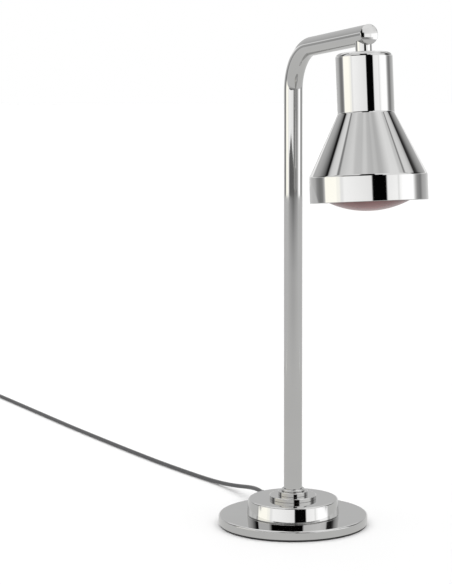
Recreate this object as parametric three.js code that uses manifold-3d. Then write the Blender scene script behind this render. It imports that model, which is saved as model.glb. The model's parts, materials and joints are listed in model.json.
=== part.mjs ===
// A free-standing heat lamp warmer: a weighted round base, a bent chrome tube and a bell shade over a
// reflector bulb. Millimetres, +Z up. The origin is on the upright's axis, at the underside of the base.
// The arm reaches along -Y and the mains cord leaves the rear, along +Y.
import * as THREE from 'three';
import { mergeVertices } from 'three/addons/utils/BufferGeometryUtils.js';
import Module from 'manifold-3d';

const wasm = await Module();
wasm.setup();

// ---------------------------------------------------------------- driving dimensions
const GAP = 0.3;                                        // left between pieces that touch
const PAD = { radius: 102.2, top: 3.6 };
const PLATE = { radius: 103.8, bottom: 2.6, top: 14.5, foot: 0.8, edge: 3 };
const WELL = { radius: 16, top: 9.5 };                  // counterbore under the plate for the lock nut
const TIER = { radius: 64.3, top: 36.5, edge: 2, draft: 5, wall: 1.4 };
const FLANGE = { radius: 32.5, height: 5.0 };
const HUB = { radius: 20.6, height: 5.3 };
const LOCK_RING = { radius: 16.2, height: 3.2 };
const TUBE = { radius: 12.7, wall: 1.2, corner: 655.4, bend: 60, rise: 5, end: 206.6 };
const STEM = { reach: 191.9, radius: 10.5 };            // the lamp head hangs this far from the upright
const HEAD = { top: 22.2, neck: 36.2, neckHeight: 75.5, bell: 75, coneHeight: 79, rim: 209, wall: 1.1 };
const ROLL = { crown: 6, throat: 5, shoulder: 6 };      // bend radii where the shade's sheet turns
const NIPPLE = { radius: 6.5, bore: 4.6 };              // hollow clamp bolt through the base
const SWIVEL = { radius: 5, bore: 3.3 };                // hollow bolt that the head turns on
const BULB = { top: 58, length: 163, radius: 63.5, face: 117 };
const SOCKET = { radius: 19, top: 44.5, bottom: 83.5 };
const CORD = { radius: 3, exit: 24 };
const SWITCH = { side: 35, up: 25.5, width: 17, height: 11.5, tilt: 10 };
const ROUND = 40;                                       // sides of a large round piece
const SMALL = 18;                                       // sides of a small one

const rad = THREE.MathUtils.degToRad;
const IRON = rad(TUBE.rise);

// ---------------------------------------------------------------- materials
function finish(color, roughness, metalness) {
  return new THREE.MeshStandardMaterial({ color, roughness, metalness });
}

const chrome = finish(0xd8dadc, 0.08, 1);
const polished = finish(0xc9cbcd, 0.25, 1);
const zinc = finish(0xa8aaac, 0.45, 1);
const brass = finish(0xb8923f, 0.35, 1);
const rubber = finish(0x1b1b1c, 0.85, 0);
const blackPlastic = finish(0x161617, 0.45, 0);
const cordPlastic = finish(0x262627, 0.55, 0);
const porcelain = finish(0xeeebe2, 0.3, 0);
const redGlass = finish(0xa8636a, 0.35, 0);
const clearGlass = finish(0xdfe6e6, 0.1, 0);
const tungsten = finish(0x4a4a4c, 0.5, 1);
const wireBlack = finish(0x18181a, 0.6, 0);
const wireWhite = finish(0xe6e4de, 0.6, 0);
const wireGreen = finish(0x2f7d45, 0.6, 0);
const sleeveFibre = finish(0xd9d2c0, 0.9, 0);
const nylon = finish(0xd6d2c6, 0.6, 0);

// ---------------------------------------------------------------- solids
function merged(geometry) {
  const bare = geometry.index ? geometry.toNonIndexed() : geometry.clone();
  for (const name of Object.keys(bare.attributes)) {
    if (name !== 'position') bare.deleteAttribute(name);
  }
  return outward(mergeVertices(bare, 1e-4));
}

function outward(geometry) {
  const p = geometry.attributes.position;
  const index = geometry.index.array;
  const [a, b, c] = [new THREE.Vector3(), new THREE.Vector3(), new THREE.Vector3()];
  let volume = 0;
  for (let i = 0; i < index.length; i += 3) {
    a.fromBufferAttribute(p, index[i]);
    b.fromBufferAttribute(p, index[i + 1]);
    c.fromBufferAttribute(p, index[i + 2]);
    volume += a.dot(b.cross(c));
  }
  if (volume < 0) {
    for (let i = 0; i < index.length; i += 3) {
      [index[i + 1], index[i + 2]] = [index[i + 2], index[i + 1]];
    }
  }
  return geometry;
}

function solid(geometry) {
  const closed = merged(geometry);
  const vertProperties = new Float32Array(closed.attributes.position.array);
  const triVerts = new Uint32Array(closed.index.array);
  return new wasm.Manifold(new wasm.Mesh({ numProp: 3, vertProperties, triVerts }));
}

function shapeOf(manifold) {
  const mesh = manifold.getMesh();
  const geometry = new THREE.BufferGeometry();
  geometry.setAttribute('position', new THREE.BufferAttribute(Float32Array.from(mesh.vertProperties), 3));
  geometry.setIndex(new THREE.BufferAttribute(Uint32Array.from(mesh.triVerts), 1));
  return geometry;
}

function cut(geometry, ...tools) {
  return shapeOf(tools.reduce((body, tool) => body.subtract(solid(tool)), solid(geometry)));
}

const join = (geometry, other) => shapeOf(solid(geometry).add(solid(other)));
const common = (geometry, other) => shapeOf(solid(geometry).intersect(solid(other)));

// A turned solid about Z from [radius, height] points; a hollow one closes on its first point.
function turned(points, sides = ROUND) {
  const profile = points.map(([r, z]) => new THREE.Vector2(r, z));
  const [first, last] = [points[0], points[points.length - 1]];
  if (first[0] > 0 || last[0] > 0) profile.push(profile[0].clone());
  return merged(new THREE.LatheGeometry(profile, sides).rotateX(Math.PI / 2));
}

// Points on an arc in a profile, from one angle to another in degrees.
function arc(r, z, radius, from, to, steps = 4) {
  return Array.from({ length: steps + 1 }, (_, i) => {
    const angle = rad(from + (to - from) * i / steps);
    return [r + radius * Math.cos(angle), z + radius * Math.sin(angle)];
  });
}

const ring = (inner, outer, low, high, sides = SMALL) =>
  turned([[inner, low], [outer, low], [outer, high], [inner, high]], sides);
const rod = (radius, low, high, sides = SMALL) =>
  turned([[0, low], [radius, low], [radius, high], [0, high]], sides);
const box = (x, y, z, at = [0, 0, 0]) => new THREE.BoxGeometry(x, y, z).translate(...at);

function hexNut(flats, bore, low, high) {
  const outline = new THREE.Shape();
  for (let i = 0; i < 6; i++) {
    const angle = rad(60 * i + 30);
    const corner = [flats / Math.sqrt(3) * Math.cos(angle), flats / Math.sqrt(3) * Math.sin(angle)];
    if (i === 0) outline.moveTo(...corner);
    else outline.lineTo(...corner);
  }
  const blank = new THREE.ExtrudeGeometry(outline, { depth: high - low, bevelEnabled: false });
  return cut(blank.translate(0, 0, low), rod(bore, low - 1, high + 1));
}

// A round wire or cord that follows hand-placed points.
function strand(points, radius, sides, steps) {
  const path = new THREE.CatmullRomCurve3(points.map((p) => new THREE.Vector3(...p)), false, 'centripetal');
  const section = new THREE.Shape();
  for (let i = 0; i < sides; i++) {
    const angle = 2 * Math.PI * (i + 0.5) / sides;
    if (i === 0) section.moveTo(radius * Math.cos(angle), radius * Math.sin(angle));
    else section.lineTo(radius * Math.cos(angle), radius * Math.sin(angle));
  }
  return new THREE.ExtrudeGeometry(section, { steps, extrudePath: path, bevelEnabled: false });
}

const model = new THREE.Group();
model.name = 'heat_lamp_warmer';

function add(name, geometry, material, parent = model) {
  const mesh = new THREE.Mesh(merged(geometry), material);
  mesh.name = name;
  parent.add(mesh);
  return mesh;
}

// ---------------------------------------------------------------- base
const tierFoot = PLATE.top + GAP;
const flangeFoot = TIER.top + GAP;
const hubFoot = flangeFoot + FLANGE.height + GAP;
const ringFoot = hubFoot + HUB.height + GAP;
const collarTop = ringFoot + LOCK_RING.height;
const clamp = NIPPLE.radius + GAP;                      // clearance hole for the hollow clamp bolt
const socketBore = TUBE.radius + GAP;                   // the collars slide over the tube
const lean = Math.tan(rad(TIER.draft));
const tierAt = (z) => TIER.radius - (z - tierFoot) * lean;

// Rear fittings sit on a wall that leans inwards, each in a group that faces straight out of it.
function onWall(side, height) {
  const place = new THREE.Group();
  place.rotation.z = -rad(side);
  const fitting = new THREE.Group();
  fitting.position.set(0, tierAt(height), height);
  fitting.rotation.x = rad(TIER.draft);
  place.add(fitting);
  model.add(place);
  return fitting;
}

function inModel(geometry, group) {
  model.updateMatrixWorld(true);
  return geometry.clone().applyMatrix4(group.matrixWorld);
}

function makeBase() {
  add('base_pad', rod(PAD.radius, 0, PAD.top, ROUND), rubber);
  const { radius, bottom, foot, edge } = PLATE;
  const seat = PAD.top + GAP;
  add('base_plate', turned([
    [clamp, WELL.top], [WELL.radius, WELL.top], [WELL.radius, seat], [PAD.radius + GAP, seat],
    [PAD.radius + GAP, bottom], ...arc(radius - foot, bottom + foot, foot, -90, 0, 2),
    ...arc(radius - edge, PLATE.top - edge, edge, 0, 90, 4), [clamp, PLATE.top],
  ]), chrome);

  const top = TIER.top - TIER.edge;
  const ceiling = TIER.top - TIER.wall;
  const shell = turned([
    [TIER.radius - TIER.wall, tierFoot], [TIER.radius - 0.5, tierFoot], [tierAt(tierFoot + 1), tierFoot + 1],
    ...arc(tierAt(top) - TIER.edge, top, TIER.edge, TIER.draft, 90, 3),
    [clamp, TIER.top], [clamp, ceiling], [tierAt(TIER.top) - TIER.wall - 1.5, ceiling],
    [tierAt(top) - TIER.wall, top - 1],
  ]);
  const glandHole = inModel(rod(5, -6, 6).rotateX(Math.PI / 2), gland);
  const switchHole = inModel(box(14.6, 12, 9.6), rocker);
  add('base_housing', cut(shell, glandHole, switchHole), chrome);

  const soft = 0.9;
  const collar = (radius, low, height) => turned([
    [socketBore, low], [radius, low], ...arc(radius - soft, low + height - soft, soft, 0, 90, 2),
    [socketBore, low + height],
  ], 36);
  add('flange_collar', collar(FLANGE.radius, flangeFoot, FLANGE.height), chrome);
  const screwHole = rod(1.8, 0, 30, 12).rotateX(-Math.PI / 2).translate(0, 0, hubFoot + HUB.height / 2);
  add('hub_collar', cut(collar(HUB.radius, hubFoot, HUB.height), screwHole), chrome);
  add('hub_set_screw', rod(1.5, TUBE.radius + 2 * GAP, HUB.radius - 0.8, 12).rotateX(-Math.PI / 2)
    .translate(0, 0, hubFoot + HUB.height / 2), zinc);
  const crown = 1.5;
  add('lock_ring', turned([
    [socketBore, ringFoot], [LOCK_RING.radius, ringFoot],
    ...arc(LOCK_RING.radius - crown, collarTop - crown, crown, 0, 90, 4), [socketBore, collarTop],
  ], 32), chrome);
}

function makeBaseClamp() {
  const tubeBore = TUBE.radius - TUBE.wall;
  add('tube_foot', ring(clamp, tubeBore - GAP, flangeFoot, collarTop), zinc);
  const bolt = ring(NIPPLE.bore, NIPPLE.radius, PAD.top + 2 * GAP, collarTop);
  add('base_nipple', cut(bolt, box(6.4, 12, 12, [0, 6, 26])), zinc);
  const washerTop = WELL.top - GAP;
  const washerFoot = washerTop - 1.4;
  add('base_washer', ring(clamp, 14, washerFoot, washerTop), zinc);
  add('base_lock_nut', hexNut(21, clamp, PAD.top + 2 * GAP, washerFoot - GAP), zinc);
}

// ---------------------------------------------------------------- upright and arm, one bent tube
const tangent = TUBE.bend * Math.tan(rad(90 - TUBE.rise) / 2);
const sweep = rad(90 - TUBE.rise);

class BentTube extends THREE.Curve {
  // The upright, the bend and the arm each take a share of t, so the bend holds most of the steps.
  getPoint(t, target = new THREE.Vector3()) {
    const [start, end] = [1 / 12, 11 / 12];
    if (t < start) {
      const z = flangeFoot + (TUBE.corner - tangent - flangeFoot) * t / start;
      return target.set(0, 0, z);
    }
    if (t < end) {
      const a = sweep * (t - start) / (end - start);
      return target.set(0, -TUBE.bend * (1 - Math.cos(a)), TUBE.corner - tangent + TUBE.bend * Math.sin(a));
    }
    const along = tangent + (TUBE.end / Math.cos(IRON) - tangent) * (t - end) / (1 - end);
    return target.set(0, -along * Math.cos(IRON), TUBE.corner + along * Math.sin(IRON));
  }
  getPointAt(u, target) { return this.getPoint(u, target); }
  getSpacedPoints(steps) { return this.getPoints(steps); }
  getTangentAt(u, target = new THREE.Vector3()) {
    const [start, end] = [1 / 12, 11 / 12];
    const a = sweep * THREE.MathUtils.clamp((u - start) / (end - start), 0, 1);
    return target.set(0, -Math.sin(a), Math.cos(a));
  }
}

function makeTube() {
  const [section, bore] = [new THREE.Shape(), new THREE.Path()];
  for (let i = 0; i < SMALL; i++) {
    const angle = 2 * Math.PI * i / SMALL;
    const [x, y] = [Math.cos(angle), Math.sin(angle)];
    section[i ? 'lineTo' : 'moveTo'](TUBE.radius * x, TUBE.radius * y);
    bore[i ? 'lineTo' : 'moveTo']((TUBE.radius - TUBE.wall) * x, (TUBE.radius - TUBE.wall) * y);
  }
  section.holes.push(bore);
  const options = { steps: 12, extrudePath: new BentTube(), bevelEnabled: false };
  const tube = new THREE.ExtrudeGeometry(section, options);
  const hole = inModel(rod(SWIVEL.radius + GAP, -25, -5), head);
  add('arm_tube', cut(tube, hole), chrome);

  // the cap is a push-in plug with a shallow spherical crown
  const { radius } = TUBE;
  const [depth, rise, spigot] = [5.4, 2.2, radius - TUBE.wall - GAP];
  const ball = (radius ** 2 + rise ** 2) / (2 * rise);
  const rimAngle = Math.acos(radius / ball) / Math.PI * 180;
  const crown = arc(0, GAP + rise - ball, ball, rimAngle, 90, 4).slice(0, -1);
  const plug = turned([[0, -depth], [spigot, -depth], [spigot, GAP], ...crown, [0, GAP + rise]], SMALL);
  const cap = new THREE.Group();
  cap.position.set(0, -TUBE.end, TUBE.corner + TUBE.end * Math.tan(IRON));
  cap.rotation.x = Math.PI / 2 - IRON;
  model.add(cap);
  add('arm_end_cap', plug, chrome, cap);
}

// ---------------------------------------------------------------- lamp head, in its own leaning frame
const head = new THREE.Group();
head.position.set(0, -STEM.reach, TUBE.corner + STEM.reach * Math.tan(IRON));
head.rotation.x = -IRON;
model.add(head);

const along = (geometry) => geometry.rotateX(Math.PI / 2);    // a turned piece laid on the arm's axis

function makeSwivel() {
  const sleeveFoot = -HEAD.top + 1.3;
  const bore = SWIVEL.radius + GAP;
  const blank = ring(bore, STEM.radius, sleeveFoot, -4);
  add('stem_sleeve', cut(blank, along(rod(TUBE.radius + GAP, -30, 30))), chrome, head);
  add('swivel_washer', ring(bore, STEM.radius, sleeveFoot - 1, sleeveFoot - GAP), nylon, head);
  const saddle = ring(bore, 8, -12, -7.2);
  add('saddle_washer', common(saddle, along(rod(TUBE.radius - TUBE.wall - GAP, -30, 30))), zinc, head);
  add('swivel_nipple', ring(SWIVEL.bore, SWIVEL.radius, -SOCKET.top + 3, -1), zinc, head);
  add('swivel_lock_nut', hexNut(14, bore, -6.9, -3.2), zinc, head);
  const under = -HEAD.top - HEAD.wall - GAP;
  add('shade_washer', ring(bore, 11, under - 1.2, under), zinc, head);
  add('shade_lock_nut', hexNut(16, bore, under - 5.6, under - 1.2 - GAP), zinc, head);
}

// The shade's outline from the top hole to the rim; inset gives the inside of the sheet.
function bellOutline(inset) {
  const { crown, throat, shoulder } = ROLL;
  const neckEnd = -(HEAD.top + HEAD.neckHeight);
  const coneEnd = neckEnd - HEAD.coneHeight;
  const slope = Math.atan2(HEAD.bell - HEAD.neck, HEAD.coneHeight) / Math.PI * 180;
  const reach = (radius) => radius * Math.tan(rad(slope) / 2);
  return [
    [SWIVEL.radius + GAP, -HEAD.top - inset],
    ...arc(HEAD.neck - crown, -HEAD.top - crown, crown - inset, 90, 0, 3),
    ...arc(HEAD.neck + throat, neckEnd + reach(throat), throat + inset, 180, 180 + slope, 2),
    ...arc(HEAD.bell - shoulder, coneEnd - reach(shoulder), shoulder - inset, slope, 0, 2),
    [HEAD.bell - inset, -HEAD.rim],
  ];
}

function makeShade() {
  add('shade', turned([...bellOutline(0), ...bellOutline(HEAD.wall).reverse()]), chrome, head);
}

function makeSocket() {
  const { radius, top, bottom } = SOCKET;
  const bore = SWIVEL.radius + GAP;
  add('socket_cap', turned([
    [bore, -top + 8], [radius + 1, -top + 8], [radius + 2.2, -top + 7], [radius + 2.2, -top - 6],
    [radius + 1.2, -top - 6], [radius + 1.2, -top + 6.8], [bore, -top + 6.8],
  ], 32), zinc, head);
  add('lamp_socket', turned([
    [4, -top + 2.4], [radius - 1, -top + 2.4], [radius + 0.8, -top + 1], [radius + 0.8, -top - 7],
    [radius, -top - 10], [radius - 1, -bottom], [14.8, -bottom], [14.8, -BULB.top + 2], [4, -BULB.top + 2],
  ], 32), porcelain, head);
  const shellTop = -BULB.top + 1.6;
  const sheet = 0.7;
  const [outer, shellFoot] = [14.4, -bottom + 1];
  add('socket_shell', turned([
    [8, shellTop], [outer, shellTop], [outer, shellFoot], [outer - sheet, shellFoot],
    [outer - sheet, shellTop - sheet], [8, shellTop - sheet],
  ], 32), brass, head);
  add('socket_contact', rod(2.6, -BULB.top + GAP, -BULB.top + 4, 12), brass, head);
}

function makeBulb() {
  const foot = -BULB.top - BULB.length;
  const capEnd = -BULB.top - 26;
  const tip = -BULB.top;
  add('bulb_contact', turned([[0, tip], [3, tip - 0.6], [5, tip - 3], [0, tip - 3]], 12), zinc, head);
  const capTop = tip - 3 - GAP;
  add('bulb_cap', turned([
    [0, capTop], [8, capTop], [13.1, capTop - 3], [13.1, capEnd], [12.4, capEnd], [12.4, capTop - 4],
    [7, capTop - 1.2], [0, capTop - 1.2],
  ], 32), polished, head);

  // The reflector bulb: a straight neck, a swelling bowl and a shallow domed face.
  const corner = 7;
  const rimAngle = Math.asin((BULB.radius - corner) / (BULB.face - corner)) / Math.PI * 180;
  const faceCentre = foot + BULB.face;
  const cornerHeight = faceCentre - (BULB.face - corner) * Math.cos(rad(rimAngle));
  const outside = (t) => [
    [13 - t, capEnd - GAP], [16.5 - t, capEnd - 5], [18.5 - t, capEnd - 16], [25 - t, capEnd - 32],
    [38 - t, capEnd - 52], [51.5 - t, capEnd - 72], [60.5 - t, capEnd - 91],
    ...arc(BULB.radius - corner, cornerHeight, corner - t, 20, rimAngle - 90, 3),
    ...arc(0, faceCentre, BULB.face - t, rimAngle - 90 - 6, -90, 3),
  ];
  add('bulb_glass', turned([...outside(0), ...outside(1.1).reverse()], 28), redGlass, head);
  const mount = capEnd - 2;
  const mountEnd = mount - 30;
  add('bulb_mount', turned([[0, mount], [6, mount], [4, mount - 20], [4.6, mountEnd], [0, mountEnd]], 12),
    clearGlass, head);
  const hang = mountEnd - GAP;
  add('bulb_filament', strand([
    [2.5, 0, hang], [9, 0, hang - 12], [15, 2, hang - 24], [8, 11, hang - 27],
    [-8, 11, hang - 27], [-15, 2, hang - 24], [-9, 0, hang - 12], [-2.5, 0, hang],
  ], 0.6, 5, 22), tungsten, head);
}

// ---------------------------------------------------------------- switch, gland and wiring
const gland = onWall(0, CORD.exit);
const rocker = onWall(SWITCH.side, SWITCH.up);
const GLAND = { length: 31, flange: 7.5 };
const TABS = { spread: 4, front: -12.6 - GAP, length: 7 };   // the switch's two blade terminals

function makeGland() {
  gland.rotation.x = 0;                                 // the gland points straight back, level
  const sleeve = turned([
    [0, -5], [7, -5], [7, -2.6], [4.7, -2.6], [4.7, 1.2], [GLAND.flange, 1.2], [GLAND.flange, 3.2],
    [5.6, 4.4], [5.3, 8], [3.9, GLAND.length], [0, GLAND.length],
  ], SMALL).rotateX(-Math.PI / 2);
  add('cord_gland', sleeve, rubber, gland);
  add('cord_jacket_end', rod(CORD.radius, -16, -5 - GAP, 12).rotateX(-Math.PI / 2), cordPlastic, gland);
}

function makeSwitch() {
  const { width, height } = SWITCH;
  const frame = join(box(width, 1.8, height, [0, 1.7, 0]), box(14, 14, 9, [0, -5.6, 0]));
  add('switch_body', cut(frame, box(12.8, 8, 7.8, [0, -0.4, 0])), blackPlastic, rocker);
  const profile = new THREE.Shape();
  profile.moveTo(-5.4, 3.6);
  profile.lineTo(0, 2.8);
  profile.lineTo(5.4, 3.6);
  profile.lineTo(5.1, 0.4);
  profile.lineTo(1.6, -1.6);
  profile.lineTo(-1.6, -1.6);
  profile.lineTo(-5.1, 0.4);
  profile.closePath();
  const thick = 7;
  const seesaw = new THREE.ExtrudeGeometry(profile, { depth: thick, bevelEnabled: false });
  const pivot = new THREE.Group();
  pivot.position.set(0, 0.9, 0);
  pivot.rotation.z = rad(SWITCH.tilt);
  rocker.add(pivot);
  add('power_rocker', seesaw.translate(0, -1, -thick / 2), blackPlastic, pivot);
  for (const [number, x] of [[1, -TABS.spread], [2, TABS.spread]]) {
    const blade = box(0.8, TABS.length, 4.8, [x, TABS.front - TABS.length / 2, 0]);
    add(`switch_tab_${number}`, blade, brass, rocker);
  }
}

function makeWiring() {
  const jacket = tierAt(CORD.exit) - 16.5 - GAP;
  const tab = (x) => {
    model.updateMatrixWorld(true);
    const end = new THREE.Vector3(x, TABS.front - TABS.length - GAP - 1.2, 0);
    return end.applyMatrix4(rocker.matrixWorld).toArray();
  };
  const window = NIPPLE.radius + 1;
  const lead = (name, points, steps, material) => add(name, strand(points, 1, 6, steps), material);
  lead('live_lead_in', [
    [1.4, jacket, 25], [1.6, jacket - 2, 25], [6, jacket - 6, 26], [14, jacket - 9, 27], tab(-TABS.spread),
  ], 10, wireBlack);
  lead('live_lead_out', [tab(TABS.spread), [26, 26, 24], [14, 17, 25], [1.6, window, 29]], 12, wireBlack);
  lead('neutral_lead', [
    [-1.4, jacket, 25], [-1.5, jacket - 3, 25], [-4, 36, 25], [-5, 20, 25], [-1.4, window, 25],
  ], 10, wireWhite);
  lead('ground_lead', [
    [0, jacket, 22.4], [-0.2, jacket - 2, 22.4], [-8, jacket - 6, 21], [-20, 38, 19], [-28.4, 31.4, 18.4],
  ], 12, wireGreen);
  const post = [-32, 28, tierFoot];
  add('ground_terminal', ring(2.4, 4.6, 0, 1.2, 12).translate(...post), brass);
  add('ground_screw', turned([[0, 1.5], [4, 1.5], [3.4, 3.4], [0, 3.8]], 12).translate(...post), zinc);

  const inTube = new BentTube();
  const up = [0.02, 0.08, 0.3, 0.5, 0.7, 0.92, 0.95].map((t) => inTube.getPoint(t).toArray());
  add('lamp_lead', strand([[0, 0, 33], ...up], 2.4, 6, 26), sleeveFibre);
  for (const [number, x] of [[1, -1], [2, 1]]) {
    const drop = [[x * 1.5, 0, 2], [x * 1.6, 0, -20], [x * 1.6, 0, -SOCKET.top + 1]];
    add(`socket_lead_${number}`, strand(drop, 1, 6, 3), number === 1 ? wireBlack : wireWhite, head);
  }
}

// ---------------------------------------------------------------- mains cord, coil and plug
// The cord drops behind the base, runs back over the table and ends in a small tied coil with its plug.
const floorLine = CORD.radius + 0.1;
const COIL = { x: -95, y: 1238, radius: 31.8, wide: 9.4, high: 12.5 };
const route = [
  [0, tierAt(CORD.exit) + GLAND.length + GAP, CORD.exit], [0.5, 101, 24], [2, 109, 23.7], [5, 123, 22.6],
  [9, 142, 19.9], [11.6, 163, 16.7], [12.5, 186, 12.9], [11.8, 210, 9.2], [10.2, 236, 6.2], [7.8, 262, 4.2],
  [5, 287, floorLine], [-0.4, 321, floorLine], [-6.4, 368, floorLine], [-12.3, 418, floorLine],
  [-17.2, 470, floorLine], [-21.6, 528, floorLine], [-26, 588, floorLine], [-30, 650, floorLine],
  [-34.2, 716, floorLine], [-38, 783, floorLine], [-41.4, 858, floorLine], [-44.6, 935, floorLine],
  [-48, 1014, floorLine], [-51.6, 1099, floorLine], [-54.2, 1150, floorLine], [-56, 1186, floorLine],
  [COIL.x + 38, COIL.y - 24, floorLine],
];

function makeCord() {
  add('cord', strand(route, CORD.radius, 8, 64), cordPlastic);
  const { radius, wide, high } = COIL;
  const [inner, outer, bevel] = [radius - wide, radius + wide, 1.2];
  const hoop = turned([
    [inner, bevel], [inner + bevel, 0], [outer - bevel, 0], [outer, bevel],
    [outer, high - bevel], [outer - bevel, high], [inner + bevel, high], [inner, high - bevel],
  ], 32).translate(COIL.x, COIL.y, 0);
  add('cord_coil', hoop, cordPlastic);

  // a strap over the coil, open against the floor
  const tie = { inside: 0.6, thick: 1.6, width: 6 };
  const [half, top] = [wide + tie.inside, high + tie.inside];
  const strap = box(2 * (half + tie.thick), tie.width, top + tie.thick, [0, 0, (top + tie.thick) / 2]);
  const hollow = box(2 * half, tie.width + 2, top + 1, [0, 0, (top - 1) / 2]);
  add('cord_tie', cut(strap, hollow).translate(COIL.x - radius, COIL.y, 0), rubber);
}

function makePlug() {
  const plug = new THREE.Group();
  plug.position.set(COIL.x - 27.4, COIL.y + 34.9, 12.5);
  plug.rotation.z = Math.PI / 2;
  model.add(plug);
  const face = 44;
  const relief = turned([[0, 0], [3.7, 0], [5.4, 20], [0, 20]], 16);
  const grip = turned([[0, 19], [7, 19], [10.5, 25], [11, 34], [12.2, 36], [12.2, face], [0, face]], 20);
  add('plug_body', join(relief, grip).rotateX(-Math.PI / 2), blackPlastic, plug);
  const [pitch, blade, pin] = [6.35, 16, 20];
  for (const [number, x] of [[1, -pitch], [2, pitch]]) {
    add(`plug_blade_${number}`, box(1.5, blade, 6.3, [x, face + GAP + blade / 2, 2.5]), brass, plug);
  }
  const groundPin = rod(2.4, face + GAP, face + GAP + pin, 12).rotateX(-Math.PI / 2).translate(0, 0, -6.5);
  add('plug_ground_pin', groundPin, brass, plug);
}

makeGland();
makeSwitch();
makeBase();
makeBaseClamp();
makeTube();
makeSwivel();
makeShade();
makeSocket();
makeBulb();
makeWiring();
makeCord();
makePlug();

export default model;
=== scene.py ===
# The heat lamp warmer's looks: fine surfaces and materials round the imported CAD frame. Blender's lengths
# are metres, with +Z up; the sizes below are in mm, and MM turns them into metres.
import json
import math

import bmesh
import bpy
from mathutils import Matrix, Vector


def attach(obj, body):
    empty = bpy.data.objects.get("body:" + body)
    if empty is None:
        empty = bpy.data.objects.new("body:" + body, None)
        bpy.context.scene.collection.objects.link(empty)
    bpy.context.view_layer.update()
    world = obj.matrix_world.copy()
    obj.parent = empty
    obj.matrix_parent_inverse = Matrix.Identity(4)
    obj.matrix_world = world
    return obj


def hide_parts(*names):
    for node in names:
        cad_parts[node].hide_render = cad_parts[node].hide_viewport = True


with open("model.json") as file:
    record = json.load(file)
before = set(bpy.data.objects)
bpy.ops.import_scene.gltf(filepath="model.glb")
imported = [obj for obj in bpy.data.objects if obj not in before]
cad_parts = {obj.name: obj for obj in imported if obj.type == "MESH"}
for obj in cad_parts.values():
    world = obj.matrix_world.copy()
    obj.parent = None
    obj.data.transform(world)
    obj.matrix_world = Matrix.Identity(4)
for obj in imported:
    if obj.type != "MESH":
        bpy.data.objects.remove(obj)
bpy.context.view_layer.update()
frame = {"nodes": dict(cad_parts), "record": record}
scene = bpy.context.scene
MM = 0.001

# ------------------------------------------------------------------ driving dimensions, in mm as in the CAD
PAD = dict(radius=102.2, top=3.6)
PLATE = dict(radius=103.8, bottom=2.6, top=14.5, foot=0.8, edge=2.2)
WELL = dict(radius=16, top=9.5)
TIER = dict(radius=64.3, foot=14.8, top=36.5, edge=2.0, draft=5, wall=1.4)
FLANGE = dict(radius=32.5, foot=36.8, height=5.0)
HUB = dict(radius=20.6, foot=42.1, height=5.3)
LOCK_RING = dict(radius=16.2, foot=47.7, height=3.2, crown=1.5)
TUBE = dict(radius=12.7, wall=1.2, corner=655.4, bend=60, rise=5, end=206.6, foot=36.8)
STEM = dict(reach=191.9, radius=10.5)
HEAD = dict(top=22.2, neck=36.2, neck_height=75.5, bell=75, cone_height=79, rim=209, wall=1.1)
SWIVEL_BORE = 5.3
BULB = dict(top=58, length=163.0, radius=63.5, face=117)
CORD = dict(radius=3, exit=24, coil_out=38, coil_in=25.6)
COIL = (-95, 1238)
# the height of the cord's middle where it lies on the floor
FLOOR_LINE = 3.1
GLAND = dict(length=31.2, cord_from=31.3)
SWITCH = dict(side=35, up=25.5, width=17, height=11.5, tilt=10)
SET_SCREW = dict(radius=1.5, hole=1.8, start=13.3, end=19.8, key=0.8)
END_CAP = dict(ball=37.8, top=3.0, roll=0.8, plug=5.4)
RISE = math.radians(TUBE["rise"])


def tier_at(z):
    """The radius of the housing's leaning wall at a height."""
    return TIER["radius"] - (z - TIER["foot"]) * math.tan(math.radians(TIER["draft"]))


# ------------------------------------------------------------------ camera
camera_data = bpy.data.cameras.new("camera")
camera_data.lens = 112.56
camera_data.sensor_width = 36
camera_data.shift_x = -0.0991
camera_data.shift_y = 0.0103
camera_data.clip_end = 60
camera = bpy.data.objects.new("camera", camera_data)
camera.location = (-1.143, -2.2153, 0.6309)
camera.rotation_euler = (math.radians(90 - 7.168), 0, math.radians(-27))
scene.collection.objects.link(camera)
scene.camera = camera
scene.view_settings.view_transform = "Standard"


# ------------------------------------------------------------------ mesh helpers
def link(obj):
    scene.collection.objects.link(obj)
    return obj


def arc(r, z, radius, start, stop, steps=10):
    """Points on an arc of a profile, from one angle to another in degrees."""
    angles = [math.radians(start + (stop - start) * i / steps) for i in range(steps + 1)]
    return [(r + radius * math.cos(a), z + radius * math.sin(a)) for a in angles]


def even_normals(obj):
    even = obj.modifiers.new("even_normals", "WEIGHTED_NORMAL")
    even.keep_sharp = True
    even.weight = 90


def mesh_object(name, points, faces, smooth=35):
    """A piece from points in mm; faces that meet at more than smooth degrees keep a crisp edge."""
    mesh = bpy.data.meshes.new(name)
    mesh.from_pydata([Vector(p) * MM for p in points], [], faces)
    bm = bmesh.new()
    bm.from_mesh(mesh)
    bmesh.ops.remove_doubles(bm, verts=bm.verts, dist=1e-6)
    bmesh.ops.recalc_face_normals(bm, faces=bm.faces)
    bm.to_mesh(mesh)
    bm.free()
    mesh.shade_smooth()
    mesh.set_sharp_from_angle(angle=math.radians(smooth))
    obj = link(bpy.data.objects.new(name, mesh))
    even_normals(obj)
    return obj


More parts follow.
